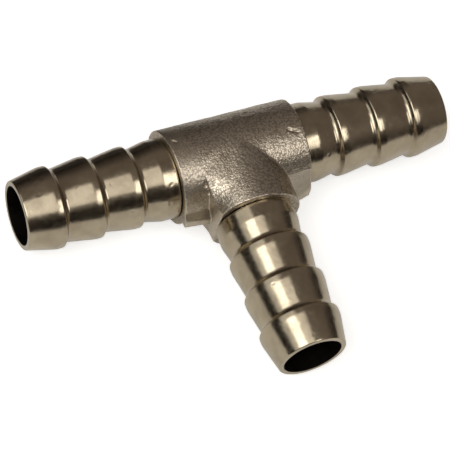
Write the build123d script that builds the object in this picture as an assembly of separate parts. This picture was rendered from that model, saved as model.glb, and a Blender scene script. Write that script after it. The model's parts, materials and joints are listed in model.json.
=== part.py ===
from build123d import *
import os

# Barbed tee for 13 mm irrigation hose, in millimetres. A rough body holds three turned stems, and each
# stem's spigot is brazed into a socket over a ring of filler. The run lies along X, the branch points
# along -Y, and the origin is where their axes cross.

# Driving dimensions
HOSE_BORE = 13.0
BORE_RADIUS = 5.05
ARM_REACH = 38.1
BODY_RADIUS = 8.1
BODY_HALF = 11.3

# One barb: a cone that widens away from the tip, a short land on its crest, a sloping back face
CREST_RADIUS = HOSE_BORE / 2 + 0.5
TIP_RADIUS = BORE_RADIUS + 0.85
VALLEY_RADIUS = CREST_RADIUS - 0.85
FIRST_CONE = 5.15
NEXT_CONE = 5.07
BARBS = 3
CREST_LAND = 1.1
BACK_FACE = 0.65
TIP_ROUNDING = 0.25
BORE_CHAMFER = 0.12

# Neck between the last valley and the body, undercut where it meets the body
NECK_RADIUS = CREST_RADIUS - 0.1
NECK_LENGTH = 2.9
UNDERCUT_WIDTH = 0.3
UNDERCUT_DEPTH = 0.35

# Spigot, socket and filler groove
SPIGOT_RADIUS = 6.0
SPIGOT_LENGTH = 4.0
BRAZE_GAP = 0.04
SOCKET_RADIUS = SPIGOT_RADIUS + BRAZE_GAP
SOCKET_DEPTH = SPIGOT_LENGTH + 0.1
GROOVE_RADIUS = 6.4
GROOVE_WIDTH = 1.0
GROOVE_CENTRE = BODY_HALF - SOCKET_DEPTH / 2

# Forging marks on the body: rounded ends, a trimmed flat on the boss, and flash left in the crotches
END_ROUNDING = 0.5
TRIM_FLAT_X = -7.0
WEB_THICKNESS = 2.0
WEB_AT_END = BODY_RADIUS + 0.7
WEB_AT_BOSS = BODY_RADIUS + 1.7

# Each stem is turned along +X, then swung about Z to its place
STEM_ANGLES = {"right": 0, "left": 180, "branch": -90}


def turned(points):
    """The solid of revolution about X of a closed outline of (distance along X, radius) points."""
    return revolve(make_face(Polyline(*points, close=True)), axis=Axis.X)


def bored(radius, start, end):
    """A round cutter along +X, from start to end."""
    return turned([(start, 0), (end, 0), (end, radius), (start, radius)])


def barbed_stem():
    """A turned stem along +X, from its spigot inside the body to its tip."""
    outside = [
        (ARM_REACH, TIP_RADIUS - TIP_ROUNDING),
        (ARM_REACH - TIP_ROUNDING, TIP_RADIUS),
    ]
    x = ARM_REACH
    for barb in range(BARBS):
        x -= FIRST_CONE if barb == 0 else NEXT_CONE
        outside.append((x, CREST_RADIUS))
        x -= CREST_LAND
        outside.append((x, CREST_RADIUS))
        x -= BACK_FACE
        outside.append((x, VALLEY_RADIUS))
    undercut_end = BODY_HALF + UNDERCUT_WIDTH
    spigot_end = BODY_HALF - SPIGOT_LENGTH
    inside = [
        (BODY_HALF + NECK_LENGTH, NECK_RADIUS),
        (undercut_end, NECK_RADIUS),
        (undercut_end, NECK_RADIUS - UNDERCUT_DEPTH),
        (BODY_HALF, NECK_RADIUS - UNDERCUT_DEPTH),
        (BODY_HALF, SPIGOT_RADIUS),
        (spigot_end, SPIGOT_RADIUS),
        (spigot_end, BORE_RADIUS),
        (ARM_REACH - BORE_CHAMFER, BORE_RADIUS),
        (ARM_REACH, BORE_RADIUS + BORE_CHAMFER),
    ]
    return turned(outside + inside)


def brazing_ring():
    """The filler that fills one socket's groove, hard against the spigot."""
    start = GROOVE_CENTRE - GROOVE_WIDTH / 2
    end = GROOVE_CENTRE + GROOVE_WIDTH / 2
    return turned([
        (start, SPIGOT_RADIUS),
        (end, SPIGOT_RADIUS),
        (end, GROOVE_RADIUS),
        (start, GROOVE_RADIUS),
    ])


def rounded_bar(start, end, rounded_start):
    """A body cylinder along +X whose far rim, and near rim if asked, is rounded."""
    bar = bored(BODY_RADIUS, start, end)
    rims = bar.edges().filter_by(GeomType.CIRCLE).sort_by(Axis.X)
    return fillet([rims[0], rims[-1]] if rounded_start else [rims[-1]], END_ROUNDING)


def crotch_web(side):
    """Flash left in the parting plane between the barrel and the boss, on the side of -1 or +1."""
    corners = [
        (0, 0),
        (side * BODY_HALF, 0),
        (side * BODY_HALF, -WEB_AT_END),
        (side * BODY_RADIUS, -WEB_AT_BOSS),
        (0, -WEB_AT_BOSS),
    ]
    sheet = make_face(Polyline(*corners, close=True))
    return extrude(sheet, amount=WEB_THICKNESS / 2, both=True)


def tee_body():
    """The forged body: barrel, boss and webs, opened by the bores, sockets and filler grooves."""
    barrel = rounded_bar(-BODY_HALF, BODY_HALF, rounded_start=True)
    boss = Rot(0, 0, STEM_ANGLES["branch"]) * rounded_bar(0, BODY_HALF, rounded_start=False)
    beyond = 2 * BODY_RADIUS
    trimmed = Pos(TRIM_FLAT_X + beyond, -beyond, 0) * Box(2 * beyond, 2 * beyond, 2 * beyond)
    body = barrel + (boss & trimmed) + crotch_web(-1) + crotch_web(1)
    passage = bored(BORE_RADIUS, 0, BODY_HALF)
    passage += bored(SOCKET_RADIUS, BODY_HALF - SOCKET_DEPTH, BODY_HALF)
    groove_start = GROOVE_CENTRE - GROOVE_WIDTH / 2
    passage += bored(GROOVE_RADIUS, groove_start, groove_start + GROOVE_WIDTH)
    for angle in STEM_ANGLES.values():
        body -= Rot(0, 0, angle) * passage
    return body


def main():
    os.makedirs("parts", exist_ok=True)
    nodes = {"tee_body": tee_body()}
    for side, angle in STEM_ANGLES.items():
        place = Rot(0, 0, angle)
        nodes[f"{side}_barbed_stem"] = place * barbed_stem()
        nodes[f"{side}_brazing_ring"] = place * brazing_ring()
    for name, solid in nodes.items():
        export_step(solid, f"parts/{name}.step")


main()
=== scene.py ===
import json
import math

import bpy
import numpy as np
from mathutils import Matrix, Vector, noise


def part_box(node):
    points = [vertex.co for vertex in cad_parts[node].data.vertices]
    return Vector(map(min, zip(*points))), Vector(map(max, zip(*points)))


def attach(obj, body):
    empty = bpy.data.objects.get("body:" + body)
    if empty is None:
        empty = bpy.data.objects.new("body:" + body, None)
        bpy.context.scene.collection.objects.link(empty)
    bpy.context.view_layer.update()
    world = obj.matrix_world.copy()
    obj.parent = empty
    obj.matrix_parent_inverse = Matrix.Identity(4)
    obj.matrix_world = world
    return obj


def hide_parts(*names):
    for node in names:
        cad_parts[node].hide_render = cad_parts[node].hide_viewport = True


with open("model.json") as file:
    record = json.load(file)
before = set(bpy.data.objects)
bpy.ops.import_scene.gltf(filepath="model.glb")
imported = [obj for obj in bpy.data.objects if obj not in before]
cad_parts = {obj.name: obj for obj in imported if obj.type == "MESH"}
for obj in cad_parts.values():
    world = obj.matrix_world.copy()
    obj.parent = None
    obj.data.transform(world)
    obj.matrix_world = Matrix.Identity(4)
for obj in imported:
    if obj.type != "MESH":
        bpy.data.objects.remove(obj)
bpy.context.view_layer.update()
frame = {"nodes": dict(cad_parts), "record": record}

# A barbed tee: one rough forged body and three bright turned stems, with a ring of brazing filler hidden in
# each socket. Sizes are in millimetres unless a comment says otherwise. MM turns them into Blender's metres.
MM = 0.001
BODY = "root"

# Sizes that the frame already states
MOUNTS = {mount["name"]: mount for mount in frame["record"]["mounts"]}
BORE = MOUNTS["run_bore"]["dims"]["r_mm"]
CREST = MOUNTS["right_hose_crest"]["dims"]["r_mm"]
LAND = MOUNTS["right_hose_crest"]["dims"]["length_mm"]
LAND_CENTRE = MOUNTS["right_hose_crest"]["pos_m"][0] / MM
SPIGOT_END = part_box("right_barbed_stem")[0].x / MM
TIP_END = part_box("right_barbed_stem")[1].x / MM
RING_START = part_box("right_brazing_ring")[0].x / MM
RING_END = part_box("right_brazing_ring")[1].x / MM
RING_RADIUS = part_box("right_brazing_ring")[1].z / MM
BODY_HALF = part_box("tee_body")[1].x / MM
BODY_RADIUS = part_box("tee_body")[1].z / MM
FLOOR_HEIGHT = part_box("tee_body")[0].z / MM

# The rest of a stem's outline
SPIGOT = 6.0
TIP = BORE + 0.85
VALLEY = CREST - 0.8
NECK = CREST - 0.1
NECK_LENGTH = 2.9
NEXT_CONE = 5.07
BACK_FACE = 0.65
BARBS = 3
UNDERCUT_WIDTH = 0.3
UNDERCUT_DEPTH = 0.35

STEMS = {"right": 0, "left": 180, "branch": -90}  # degrees about Z from +X


def add_object(name, data):
    """A new object in the scene, at the frame's origin."""
    made = bpy.data.objects.new(name, data)
    bpy.context.scene.collection.objects.link(made)
    return made


def add_mesh(name, points_mm, faces, smooth=True):
    """A new mesh object from points in millimetres, in the frame's own place."""
    mesh = bpy.data.meshes.new(name)
    mesh.from_pydata((np.asarray(points_mm) * MM).tolist(), [], faces)
    mesh.update()
    mesh.polygons.foreach_set("use_smooth", [smooth] * len(mesh.polygons))
    return add_object(name, mesh)


def stand(thing, place, right, back):
    """Stand a light or the camera at a place, with its own X along right and its own Z along back."""
    turn = Matrix((right, back.cross(right), back)).transposed()
    thing.matrix_world = Matrix.Translation(place) @ turn.to_4x4()


# ---------------------------------------------------------------- turned stems

STEP_ALONG = 0.22
STEPS_AROUND = 176
ARC_STEPS = 5

# Wear: slow waves, and nicks where a finer noise rises over a threshold
WAVE_HEIGHT = 0.012
WAVES_ALONG = 0.35  # noise units to the millimetre
WAVES_AROUND = 2.2  # radius, in noise units, of the circle that the noise is read around
SEED_STEP = 17  # noise units from one stem to the next
NICK_DEPTH = 0.18
NICK_FINENESS = 4.3
NICK_THRESHOLD = 0.5
WEAR_MARGIN = 0.3  # the surface this near to the bore isn't worn

# The surface gets painted shade, a near-black dull metal, this near to the bore's wall, and this near to the
# undercut where it is deep
BORE_MARGIN = 0.03
UNDERCUT_MARGIN = 0.05
PAINTED_SHADE_DEPTH = 0.1


def stem_corners():
    """The stem's closed outline as (along, radius, blend) corners, from the tip's outer edge inwards.

    The blend is how far from the corner its rounding starts.
    """
    corners = [(TIP_END, TIP, 0.2)]
    along = LAND_CENTRE + LAND / 2
    for _ in range(BARBS):
        corners.append((along, CREST, 0.4))
        corners.append((along - LAND, CREST, 0.18))
        along -= LAND + BACK_FACE
        corners.append((along, VALLEY, 0.5))
        along -= NEXT_CONE
    neck_start = BODY_HALF + UNDERCUT_WIDTH
    corners += [
        (BODY_HALF + NECK_LENGTH, NECK, 0.25),
        (neck_start, NECK, 0.1),
        (neck_start, NECK - UNDERCUT_DEPTH, 0.03),
        (BODY_HALF, NECK - UNDERCUT_DEPTH, 0.03),
        (BODY_HALF, SPIGOT, 0.03),
        (SPIGOT_END, SPIGOT, 0.12),
        (SPIGOT_END, BORE, 0.08),
        (TIP_END, BORE, 0.1),
    ]
    return corners


def corner_arc(here, before, after, blend):
    """Points on the arc that rounds the corner here, given the corners before and after it."""
    before, after = before - here, after - here
    before, after = before / np.linalg.norm(before), after / np.linalg.norm(after)
    half_angle = math.acos(np.clip(before @ after, -1, 1)) / 2
    centre = here + (before + after) / np.linalg.norm(before + after) * blend / math.cos(half_angle)
    first, last = here + before * blend - centre, here + after * blend - centre
    sweep = math.pi - 2 * half_angle
    arc = []
    for share in np.arange(ARC_STEPS + 1) / ARC_STEPS:
        spoke = math.sin((1 - share) * sweep) * first + math.sin(share * sweep) * last
        arc.append(centre + spoke / math.sin(sweep))
    return arc


def rounded_outline(corners):
    """The closed outline with an arc at each corner, and its straight runs cut into short steps."""
    count = len(corners)
    places = [np.array(corner[:2]) for corner in corners]
    blends = [corner[2] for corner in corners]
    arcs = [corner_arc(places[i], places[i - 1], places[(i + 1) % count], blends[i]) for i in range(count)]
    outline = []
    for i, arc in enumerate(arcs):
        outline += arc
        gap = arcs[(i + 1) % count][0] - arc[-1]
        steps = max(1, round(np.linalg.norm(gap) / STEP_ALONG))
        outline += [arc[-1] + gap * k / steps for k in range(1, steps)]
    return np.array(outline)


def wear(along, turn, seed):
    """How far a stem's surface stands out at a place along it and a turn round it."""
    side, top = math.cos(turn) * WAVES_AROUND, math.sin(turn) * WAVES_AROUND
    here = Vector((along * WAVES_ALONG, side, top + seed * SEED_STEP))
    nick = max(0.0, noise.noise(here * NICK_FINENESS) - NICK_THRESHOLD)
    return WAVE_HEIGHT * noise.noise(here) - NICK_DEPTH * nick


def painted_shade_steps(outline):
    """Which steps of the outline lie in the bore or in the deep undercut, and so get painted shade."""
    along, radius = ((outline + np.roll(outline, -1, axis=0)) / 2).T
    in_bore = radius < BORE + BORE_MARGIN
    beside_body = np.abs(along - BODY_HALF) < UNDERCUT_WIDTH + UNDERCUT_MARGIN
    return in_bore | (beside_body & (radius < NECK - PAINTED_SHADE_DEPTH))


def lathe(name, outline, angle_deg, seed):
    """The outline turned about +X and worn outside, then swung about Z to its place."""
    rows = len(outline)
    turns = np.arange(STEPS_AROUND) / STEPS_AROUND * 2 * math.pi
    points = np.empty((rows, STEPS_AROUND, 3))
    for i, (along, outline_radius) in enumerate(outline):
        exposed = outline_radius > BORE + WEAR_MARGIN and along > BODY_HALF + UNDERCUT_WIDTH
        for j, turn in enumerate(turns):
            radius = outline_radius + (wear(along, turn, seed) if exposed else 0.0)
            points[i, j] = (along, radius * math.cos(turn), radius * math.sin(turn))
    swing = Matrix.Rotation(math.radians(angle_deg), 3, "Z")
    swung = points.reshape(-1, 3) @ np.array(swing.transposed())
    faces = []
    for i in range(rows):
        low, high = i * STEPS_AROUND, (i + 1) % rows * STEPS_AROUND
        for j in range(STEPS_AROUND):
            k = (j + 1) % STEPS_AROUND
            faces.append((low + j, high + j, high + k, low + k))
    made = add_mesh(name, swung, faces)
    # The bore and the deep undercut take the second material, painted shade
    dull = np.repeat(painted_shade_steps(outline), STEPS_AROUND)
    made.data.polygons.foreach_set("material_index", dull.astype(int).tolist())
    return made


# ---------------------------------------------------------------- forged body

GRID = 0.185  # the pitch of the grid that the body's surface is read from
RIM = 0.12  # the rounding of the body's rims
END_PROUD = 0.25  # how far the ends stand out past the CAD body
END_SKEW = 0.2  # how far the forging's ends lean out of square, measured at their rims

# How much wider and deeper the passages are than the spigots in them
BRAZE_GAP = 0.04
SOCKET_FLOOR_GAP = 0.1
CREVICE = 6.62  # the opening round the stem's undercut, outside the socket
CREVICE_START = BODY_HALF - 0.02

# The crease between barrel and boss: crisp on the right, filled on the left
CREASE = 0.4
FILLED_CREASE = 3.4
FILL_REACH = 4.0  # how far to the left of the boss's axis the crease is full
CREASE_DROP = 1.2  # the fillet narrows over this distance to the body's top and underside
LEAST_FILLET = 0.02  # the share of the fillet's width that is left there

# The flat trimmed down the boss's left flank
FLAT_X = -7.0
FLAT_DRAFT = math.radians(8)

# Flash in the two crotches: the lean of its upper face from straight up, that face's distance from the
# barrel's axis, the height of its underside, and how far it stands out at the barrel's end and at the boss
WEBS = {
    "left": (math.radians(50), 6.87, -1.8, 0.9, 1.2),
    "right": (math.radians(60.5), 8.18, -1.5, 1.0, 1.85),
}
WEB_START = 7.0  # how far towards the branch, from the run's axis, the webs begin
WEB_PROUD = 0.05  # how far they stand out past the CAD body's ends
WEB_ROUNDING = 0.25

# The skin this near to a web's face or to the flat is trimmed, where it is also this far out of the barrel
WEB_NEAR = 0.2
WEB_CLEAR = 0.02
FLAT_NEAR = 0.12
FLAT_CLEAR = 0.05

# The skin's relief: its height, its waves to the millimetre, and where in the noise it is read
SLOW_WAVES = (0.04, 0.45, (3, 1, 7))
GRAINS = [(0.02, 1.7, (0, 0, 0)), (0.014, 3.3, (5, 9, 2))]
RELIEF_MARGIN = 0.35  # the skin this near to a passage has no relief

# Scars in the skin: both ends, half the width and the depth of each
SCARS = [
    ((8.9, -0.9, 8.05), (10.4, -1.6, 7.9), 0.28, 0.3),
    ((-7.1, -6.75, 4.45), (-6.7, -6.3, 5.0), 0.42, 0.5),
    ((-7.6, -5.9, 5.5), (-7.5, -5.5, 5.9), 0.3, 0.3),
    ((-10.7, 2.6, 7.65), (-10.3, 2.2, 7.8), 0.3, 0.25),
    ((3.1, 4.6, 6.6), (3.6, 5.0, 6.3), 0.35, 0.2),
    ((5.5, 2.0, -7.8), (6.1, 2.6, -7.6), 0.35, 0.25),
]

# The kinds of skin, in the order of the body's materials: each one's share of the grains in the relief, the
# depth of its fine grain, and its roughness
SKINS = {
    "blasted_metal": (1.0, 0.07, 0.33),
    "trimmed_metal": (0.12, 0.005, 0.32),
    "worn_metal": (0.8, 0.045, 0.36),
}
BLASTED, TRIMMED, WORN = range(len(SKINS))


def rounded_cylinder(radial, along, start, end):
    """Distance to one of the body's cylinders, from each point's distance to its axis and place along it."""
    side = radial - BODY_RADIUS + RIM
    cap = np.maximum(along - end, start - along) + RIM
    outside = np.hypot(np.maximum(side, 0), np.maximum(cap, 0))
    return np.minimum(np.maximum(side, cap), 0) + outside - RIM


def smooth_union(a, b, width):
    """The nearer of two distances, blended over a width so that the corner between them is filled."""
    mix = np.clip(0.5 + 0.5 * (b - a) / width, 0, 1)
    return b * (1 - mix) + a * mix - width * mix * (1 - mix)


def crotch_web(side, x, y, z):
    """Flash beside the boss: a leaning upper face, a trimmed edge and a flat underside."""
    lean, offset, bottom, proud_end, proud_boss = WEBS[side]
    reach = -x if side == "left" else x
    slope = (proud_boss - proud_end) / (BODY_HALF - BODY_RADIUS)
    trim = -y - (BODY_RADIUS + proud_end + slope * (BODY_HALF - reach))
    top = z * math.cos(lean) - y * math.sin(lean) - offset
    edge = -smooth_union(-top, -trim / math.hypot(1, slope), WEB_ROUNDING)
    ends = np.maximum(reach - BODY_HALF - WEB_PROUD, BODY_RADIUS / 2 - reach)
    return np.maximum(np.maximum(edge, bottom - z), np.maximum(ends, y + WEB_START))


def barrel_distance(x, y, z):
    left_end = -BODY_HALF - END_PROUD - END_SKEW * y / BODY_RADIUS
    return rounded_cylinder(np.hypot(y, z), x, left_end, BODY_HALF + END_PROUD)


def boss_distance(x, y, z):
    end = BODY_HALF + END_PROUD + END_SKEW * x / BODY_RADIUS
    return rounded_cylinder(np.hypot(x, z), -y, 0, end)


def flat_distance(x, y):
    """Distance beyond the flat, which leans a little and runs up onto the barrel."""
    return (FLAT_X - x) * math.cos(FLAT_DRAFT) + (-y - BODY_RADIUS) * math.sin(FLAT_DRAFT)


def body_distance(x, y, z):
    """Distance to the forged body's skin: below zero inside the metal."""
    barrel = barrel_distance(x, y, z)
    crease = CREASE + (FILLED_CREASE - CREASE) * np.clip(-x / FILL_REACH, 0, 1)
    crease *= np.clip((BODY_RADIUS - np.abs(z)) / CREASE_DROP, LEAST_FILLET, 1)
    skin = smooth_union(barrel, boss_distance(x, y, z), crease)
    skin = np.minimum(np.maximum(skin, flat_distance(x, y)), barrel)
    for side in WEBS:
        skin = np.minimum(skin, crotch_web(side, x, y, z))
    return skin


def skin_kind(points):
    """The kind of skin at each point: trimmed and smooth, worn beyond the flat, or blasted."""
    x, y, z = points.T
    barrel = barrel_distance(x, y, z)
    flat = flat_distance(x, y)
    webs = np.minimum(*[crotch_web(side, x, y, z) for side in WEBS])
    on_web = (np.abs(webs) < WEB_NEAR) & (barrel > WEB_CLEAR)
    on_flat = (np.abs(flat) < FLAT_NEAR) & (boss_distance(x, y, z) < -FLAT_CLEAR) & (barrel > FLAT_CLEAR)
    return np.where(on_web | on_flat, TRIMMED, np.where(flat > 0, WORN, BLASTED))


def hollow_distance(x, y, z):
    """Distance to the passages: the bores, the sockets and the filler grooves, below zero inside them."""
    run = np.hypot(y, z)
    branch = np.hypot(x, z)
    nearest = np.minimum(run - BORE, np.maximum(branch - BORE, y))
    for radial, along in ((run, np.abs(x)), (branch, -y)):
        socket = np.maximum(radial - SPIGOT - BRAZE_GAP, SPIGOT_END - SOCKET_FLOOR_GAP - along)
        crevice = np.maximum(radial - CREVICE, CREVICE_START - along)
        groove = np.maximum(radial - RING_RADIUS, np.maximum(RING_START - along, along - RING_END))
        for passage in (socket, crevice, groove):
            nearest = np.minimum(nearest, passage)
    return nearest


def grid_surface(distance, low, high, pitch):
    """Points and four-sided faces of the surface where distance is zero, read from a grid of its values.

    Each cell that the surface crosses gets one point, the mean of where the surface cuts its edges. Each cut
    edge gets one face, which joins the points of the four cells around it and faces outwards.
    """
    axes = [np.arange(a, b + pitch, pitch) for a, b in zip(low, high)]
    value = distance(*np.meshgrid(*axes, indexing="ij"))
    inside = value < 0
    shape = np.array(value.shape)
    total = np.zeros((*(shape - 1), 3))
    crossings = np.zeros(shape - 1)
    faces = []
    for axis in range(3):
        ahead = [slice(None)] * 3
        behind = [slice(None)] * 3
        ahead[axis], behind[axis] = slice(1, None), slice(None, -1)
        crossed = inside[tuple(ahead)] != inside[tuple(behind)]
        index = np.argwhere(crossed)
        first = value[tuple(behind)][crossed]
        second = value[tuple(ahead)][crossed]
        place = index.astype(float)
        place[:, axis] += first / (first - second)
        others = [a for a in range(3) if a != axis]
        inner = np.all((index[:, others] > 0) & (index[:, others] < shape[others] - 1), axis=1)
        index, place, leaving = index[inner], place[inner], inside[tuple(behind)][crossed][inner]
        cells = []
        for step in ((0, 0), (1, 0), (1, 1), (0, 1)):
            cell = index.copy()
            cell[:, others[0]] -= step[0]
            cell[:, others[1]] -= step[1]
            np.add.at(total, tuple(cell.T), place)
            np.add.at(crossings, tuple(cell.T), 1)
            cells.append(np.ravel_multi_index(tuple(cell.T), tuple(shape - 1)))
        quads = np.stack(cells, 1)
        turned = leaving if axis == 1 else ~leaving
        quads[turned] = quads[turned][:, ::-1]
        faces.append(quads)
    used = crossings > 0
    number = np.cumsum(used.ravel()) - 1
    points = total[used] / crossings[used][:, None] * pitch + np.array(low)
    return points, number[np.concatenate(faces)]


def slope_of(distance, points):
    """The outward direction of the surface at each point."""
    step = 0.01
    parts = []
    for axis in range(3):
        shift = np.zeros(3)
        shift[axis] = step
        parts.append(distance(*(points + shift).T) - distance(*(points - shift).T))
    slopes = np.stack(parts, 1)
    return slopes / np.maximum(np.linalg.norm(slopes, axis=1), 1e-9)[:, None]


def skin_relief(point, grain):
    """How far the forging's skin stands out at a point: slow waves, blasted grains and scars."""
    here = Vector(point)
    height, fineness, shift = SLOW_WAVES
    relief = height * noise.noise(here * fineness + Vector(shift))
    for height, fineness, shift in GRAINS:
        relief += grain * height * noise.noise(here * fineness + Vector(shift))
    for start, end, half_width, depth in SCARS:
        start, run = Vector(start), Vector(end) - Vector(start)
        share = min(1, max(0, (here - start).dot(run) / run.length_squared))
        nearness = 1 - (here - start - run * share).length / half_width
        relief -= depth * max(0, nearness) ** 0.5
    return relief


def metal_distance(x, y, z):
    return np.maximum(body_distance(x, y, z), -hollow_distance(x, y, z))


def forged_body():
    """The hollow body, with its skin moved onto its exact place and then roughened."""
    margin = 4 * GRID
    low = np.array([-BODY_HALF, -BODY_HALF, -BODY_RADIUS]) - margin
    high = np.array([BODY_HALF, BODY_RADIUS, BODY_RADIUS]) + margin
    points, faces = grid_surface(metal_distance, low, high, GRID)
    skin = body_distance(*points.T)
    slopes = slope_of(body_distance, points)
    on_skin = (np.abs(skin) < GRID) & (hollow_distance(*points.T) > RELIEF_MARGIN)
    points[on_skin] -= slopes[on_skin] * skin[on_skin][:, None]
    grain = np.array([share for share, _, _ in SKINS.values()])[skin_kind(points)]
    for i in np.flatnonzero(on_skin):
        points[i] += slopes[i] * skin_relief(points[i], grain[i])
    made = add_mesh("forged_tee_body", points, faces.tolist())
    centres = points[faces].mean(1)
    made.data.polygons.foreach_set("material_index", skin_kind(centres).tolist())
    return made


# ---------------------------------------------------------------- materials


class Nodes:
    """Short ways to add and join the nodes of one tree."""

    def __init__(self, tree):
        self.tree = tree

    def put(self, value, socket):
        """Give a socket its value, or link it to the socket that the value comes from."""
        if isinstance(value, bpy.types.NodeSocket):
            self.tree.links.new(value, socket)
        else:
            socket.default_value = value

    def add(self, kind, inputs=(), **settings):
        """A new node with its own settings, and a value or a link for each input that is named."""
        node = self.tree.nodes.new(kind)
        for key, value in settings.items():
            setattr(node, key, value)
        for socket, value in dict(inputs).items():
            self.put(value, node.inputs[socket])
        return node

    def range(self, value, source, result):
        """The value with the source range, from low to high, stretched or shrunk onto the result range."""
        node = self.add("ShaderNodeMapRange", {
            "Value": value,
            "From Min": source[0],
            "From Max": source[1],
            "To Min": result[0],
            "To Max": result[1],
        })
        return node.outputs["Result"]

    def mix(self, factor, first, second):
        """A colour between two others."""
        node = self.add("ShaderNodeMix", data_type="RGBA")
        for socket, value in ((0, factor), (6, first), (7, second)):
            self.put(value, node.inputs[socket])
        return node.outputs[2]

    def math(self, operation, *values):
        return self.add("ShaderNodeMath", dict(enumerate(values)), operation=operation).outputs[0]


class Surface(Nodes):
    """A material under construction."""

    def __init__(self, name):
        self.material = bpy.data.materials.new(name)
        self.material.use_nodes = True
        super().__init__(self.material.node_tree)
        self.shader = self.tree.nodes["Principled BSDF"]

    def place(self):
        """Coordinates fixed to the piece, in metres."""
        return self.add("ShaderNodeTexCoord").outputs["Object"]

    def noise(self, place, per_mm, detail=3.0):
        """Noise from 0 to 1, with about per_mm waves to the millimetre."""
        source = self.add("ShaderNodeTexNoise", {
            "Vector": place,
            "Scale": per_mm / MM,
            "Detail": detail,
            "Roughness": 0.55,
        })
        return source.outputs["Fac"]

    def cells(self, place, per_mm):
        """Distance to the nearest of many scattered points, with about per_mm of them to the millimetre."""
        return self.add("ShaderNodeTexVoronoi", {"Vector": place, "Scale": per_mm / MM}).outputs["Distance"]

    def sum(self, first, first_share, second, second_share):
        """Two values added together, each in its share."""
        first_part = self.math("MULTIPLY", first, first_share)
        second_part = self.math("MULTIPLY", second, second_share)
        return self.math("ADD", first_part, second_part)

    def bump(self, height, depth):
        return self.add("ShaderNodeBump", {"Height": height, "Distance": depth * MM}).outputs["Normal"]

    def set(self, **sockets):
        """Set the shader's sockets by name, with _ for a space."""
        for name, value in sockets.items():
            self.put(value, self.shader.inputs[name.replace("_", " ")])


METAL = (0.47, 0.40, 0.285, 1)
METAL_STAINED = (0.33, 0.27, 0.19, 1)
METAL_BLASTED = (0.575, 0.505, 0.402, 1)
METAL_PITTED = (0.22, 0.175, 0.13, 1)
# Painted shade for the bore and the deep undercut: near-black metal, with slightly lighter patches
BORE_PAINTED_SHADE = (0.008, 0.007, 0.006, 1)
BORE_PAINTED_SHADE_PATCH = (0.02, 0.016, 0.012, 1)
FILLER = (0.72, 0.56, 0.26, 1)
FILLER_DULL = (0.50, 0.37, 0.18, 1)
PITS_PER_GRAIN = 0.65 / SKINS["blasted_metal"][1]  # how dark the pits are to each millimetre of grain depth


def turned_metal(axis):
    """Bright metal with fine tool rings about the named axis and faint stains."""
    n = Surface(f"turned_metal_{axis.lower()}")
    place = n.place()
    parts = n.add("ShaderNodeSeparateXYZ", {"Vector": place})
    along = n.add("ShaderNodeCombineXYZ", {"X": parts.outputs[axis]}).outputs["Vector"]
    rings = n.noise(along, 5.5, detail=4)
    stains = n.noise(place, 0.28, detail=5)
    worn = n.noise(place, 1.3, detail=4)
    n.set(
        Base_Color=n.mix(n.range(stains, (0.42, 0.7), (0, 0.7)), METAL, METAL_STAINED),
        Metallic=1.0,
        Roughness=n.range(worn, (0.3, 0.7), (0.15, 0.26)),
        Normal=n.bump(n.sum(rings, 0.8, worn, 0.6), 0.012),
    )
    return n.material


def bore_metal():
    """The drilled wall of a bore and the deep undercut: painted shade, a near-black dull metal in uneven
    patches.
    """
    n = Surface("bore_metal")
    shade_patches = n.noise(n.place(), 0.8, detail=4)
    n.set(
        Base_Color=n.mix(n.range(shade_patches, (0.35, 0.65), (0, 0.6)), BORE_PAINTED_SHADE, BORE_PAINTED_SHADE_PATCH),
        Metallic=1.0,
        Roughness=n.range(shade_patches, (0.3, 0.7), (0.55, 0.8)),
        Normal=n.bump(shade_patches, 0.05),
    )
    return n.material


def forged_metal(name):
    """One kind of the forging's skin: granular, with darker pits where its grain is deep."""
    _, grain_depth, roughness = SKINS[name]
    n = Surface(name)
    place = n.place()
    cells = n.math("SUBTRACT", 1.0, n.cells(place, 2.6))
    grains = n.sum(cells, 0.55, n.noise(place, 3.2), 0.45)
    broad = n.noise(place, 0.35, detail=4)
    pits = n.range(grains, (0.42, 0.54), (grain_depth * PITS_PER_GRAIN, 0))
    colour = n.mix(n.range(broad, (0.35, 0.7), (0, 0.5)), METAL_BLASTED, METAL)
    n.set(
        Base_Color=n.mix(pits, colour, METAL_PITTED),
        Metallic=1.0,
        Roughness=n.range(grains, (0.4, 0.75), (roughness + 0.08, roughness - 0.06)),
        Normal=n.bump(grains, grain_depth),
    )
    return n.material


def brazing_filler():
    """Solidified filler: a warm alloy with dull, flux-stained patches."""
    n = Surface("brazing_filler")
    flux = n.noise(n.place(), 0.9, detail=4)
    n.set(
        Base_Color=n.mix(n.range(flux, (0.4, 0.65), (0, 1)), FILLER, FILLER_DULL),
        Metallic=1.0,
        Roughness=n.range(flux, (0.3, 0.7), (0.25, 0.55)),
        Normal=n.bump(flux, 0.05),
    )
    return n.material


# ---------------------------------------------------------------- pieces

stem_outline = rounded_outline(stem_corners())
metal_about = {"right": turned_metal("X"), "branch": turned_metal("Y")}
metal_about["left"] = metal_about["right"]
# The bore and the deep undercut get painted shade
bore = bore_metal()
for seed, (side, angle) in enumerate(STEMS.items()):
    stem = lathe(f"{side}_turned_stem", stem_outline, angle, seed)
    stem.data.materials.append(metal_about[side])
    stem.data.materials.append(bore)
    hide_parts(f"{side}_barbed_stem")
    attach(stem, BODY)

body = forged_body()
for name in SKINS:
    body.data.materials.append(forged_metal(name))
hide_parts("tee_body")
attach(body, BODY)

filler = brazing_filler()
for side in STEMS:
    frame["nodes"][f"{side}_brazing_ring"].data.materials[0] = filler

# ---------------------------------------------------------------- floor, light and camera

# The floor glows a little, and more for the camera, so that it looks white while the metal mirrors a
# duller one
FLOOR_HALF = 3000
FLOOR_COLOUR = (0.84, 0.84, 0.83, 1)
FLOOR_GLOW = 0.1
FLOOR_GLOW_SEEN = 0.62

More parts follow.
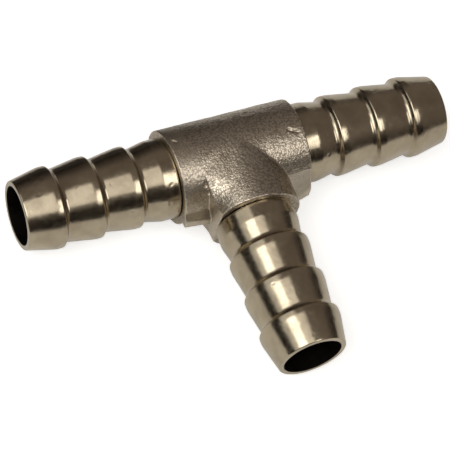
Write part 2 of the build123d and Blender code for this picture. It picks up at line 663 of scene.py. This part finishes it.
# The metal also mirrors a shaded floor behind the left arm. The direction points from the tee towards it.
# The shade begins, and is full, this far along that direction and this far back from the run
SHADE_COLOUR = (0.03, 0.026, 0.025, 1)
SHADE_DIRECTION = (-0.866, 0.5, 0)
SHADE_ACROSS = (13.0, 20.0)
SHADE_BACK = (20.0, 36.0)

# The room's ceiling: its middle along each axis, as a share of a direction, and how far from there it starts
# to fade and has faded to its walls
CEILING = {"X": (0.2, 0.62, 0.8), "Y": (0.07, 0.68, 0.92)}
CEILING_COLOUR = (0.185, 0.158, 0.144, 1)
WALL_SHARE = 0.12
BACKDROP_COLOUR = (0.98, 0.98, 0.98, 1)

# Each softbox as seen from the tee: its lean from straight above towards +X and +Y, its half-widths in those
# directions, all in degrees, its distance in metres, and its brightness
SOFTBOXES = {
    "left_panel": (-42, 0, 22, 40, 1.2, 0.62),
    "centre_panel": (-7, -15, 12, 26, 1.2, 0.85),
    "key_left": (-33.5, -13, 12.5, 20, 0.9, 2.2),
    "key_front": (19, -31, 7.5, 15, 0.9, 2.6),
}
SOFTBOX_POWER = 4  # watts to the square metre, at a brightness of 1

# The camera at the photograph's viewing angle. Its lens is in millimetres, its distance and aim in metres
CAMERA_AZIMUTH = math.radians(-38.08)
CAMERA_ELEVATION = math.radians(59.73)
CAMERA_ROLL = math.radians(19.35)
CAMERA_DISTANCE = 0.48294
CAMERA_AIM = Vector((-0.005176, -0.011167, 0.0))
CAMERA_LENS = 232


def pale_floor():
    signs = ((-1, -1), (1, -1), (1, 1), (-1, 1))
    corners = [(x * FLOOR_HALF, y * FLOOR_HALF, FLOOR_HEIGHT) for x, y in signs]
    floor = add_mesh("floor", corners, [(0, 1, 2, 3)], smooth=False)
    n = Surface("pale_floor")
    seen = n.add("ShaderNodeLightPath").outputs["Is Camera Ray"]
    place = n.place()
    vectors = {0: place, 1: SHADE_DIRECTION}
    across = n.add("ShaderNodeVectorMath", vectors, operation="DOT_PRODUCT").outputs["Value"]
    back = n.add("ShaderNodeSeparateXYZ", {"Vector": place}).outputs["Y"]
    lit = seen
    for distance, (start, full) in ((across, SHADE_ACROSS), (back, SHADE_BACK)):
        lit = n.math("MAXIMUM", lit, n.range(distance, (start * MM, full * MM), (1, 0)))
    n.set(
        Base_Color=n.mix(lit, SHADE_COLOUR, FLOOR_COLOUR),
        Roughness=0.9,
        Emission_Color=FLOOR_COLOUR,
        Emission_Strength=n.sum(lit, FLOOR_GLOW, seen, FLOOR_GLOW_SEEN),
    )
    floor.data.materials.append(n.material)


def softbox(name, lean_x, lean_y, half_x, half_y, distance, brightness):
    light = bpy.data.lights.new(name, "AREA")
    light.shape = "RECTANGLE"
    light.size = 2 * distance * math.tan(math.radians(half_x))
    light.size_y = 2 * distance * math.tan(math.radians(half_y))
    light.energy = SOFTBOX_POWER * brightness * light.size * light.size_y
    back = Vector((math.tan(math.radians(lean_x)), math.tan(math.radians(lean_y)), 1)).normalized()
    right = Vector((0, 1, 0)).cross(back).normalized()
    stand(add_object(name, light), back * distance, right, back)


def dim_room():
    """A dim warm ceiling with darker walls for the metal to mirror, and plain white for the camera."""
    world = bpy.data.worlds.new("room")
    bpy.context.scene.world = world
    world.use_nodes = True
    n = Nodes(world.node_tree)
    direction = n.add("ShaderNodeTexCoord").outputs["Generated"]
    parts = n.add("ShaderNodeSeparateXYZ", {"Vector": direction}).outputs
    fades = []
    for axis, (middle, full, dark) in CEILING.items():
        offset = n.math("ABSOLUTE", n.math("SUBTRACT", parts[axis], middle))
        fades.append(n.range(offset, (full, dark), (1, WALL_SHARE)))
    ceiling = n.tree.nodes["Background"]
    n.put(CEILING_COLOUR, ceiling.inputs["Color"])
    n.put(n.math("MULTIPLY", *fades), ceiling.inputs["Strength"])
    backdrop = n.add("ShaderNodeBackground", {"Color": BACKDROP_COLOUR})
    seen = n.add("ShaderNodeLightPath").outputs["Is Camera Ray"]
    choose = n.add("ShaderNodeMixShader", {0: seen, 1: ceiling.outputs[0], 2: backdrop.outputs[0]})
    n.put(choose.outputs[0], n.tree.nodes["World Output"].inputs["Surface"])


def photo_camera():
    """The scene's camera: rolled about its own line of sight, and looking at the middle of the tee."""
    camera = add_object("camera", bpy.data.cameras.new("camera"))
    camera.data.lens = CAMERA_LENS
    camera.data.clip_start = 0.01
    back = Vector((
        math.sin(CAMERA_AZIMUTH) * math.cos(CAMERA_ELEVATION),
        -math.cos(CAMERA_AZIMUTH) * math.cos(CAMERA_ELEVATION),
        math.sin(CAMERA_ELEVATION),
    ))
    level = Vector((math.cos(CAMERA_AZIMUTH), math.sin(CAMERA_AZIMUTH), 0))
    right = level * math.cos(CAMERA_ROLL) + back.cross(level) * math.sin(CAMERA_ROLL)
    stand(camera, CAMERA_AIM + back * CAMERA_DISTANCE, right, back)
    bpy.context.scene.camera = camera


pale_floor()
dim_room()
for name, setup in SOFTBOXES.items():
    softbox(name, *setup)
photo_camera()
bpy.context.scene.view_settings.view_transform = "Standard"
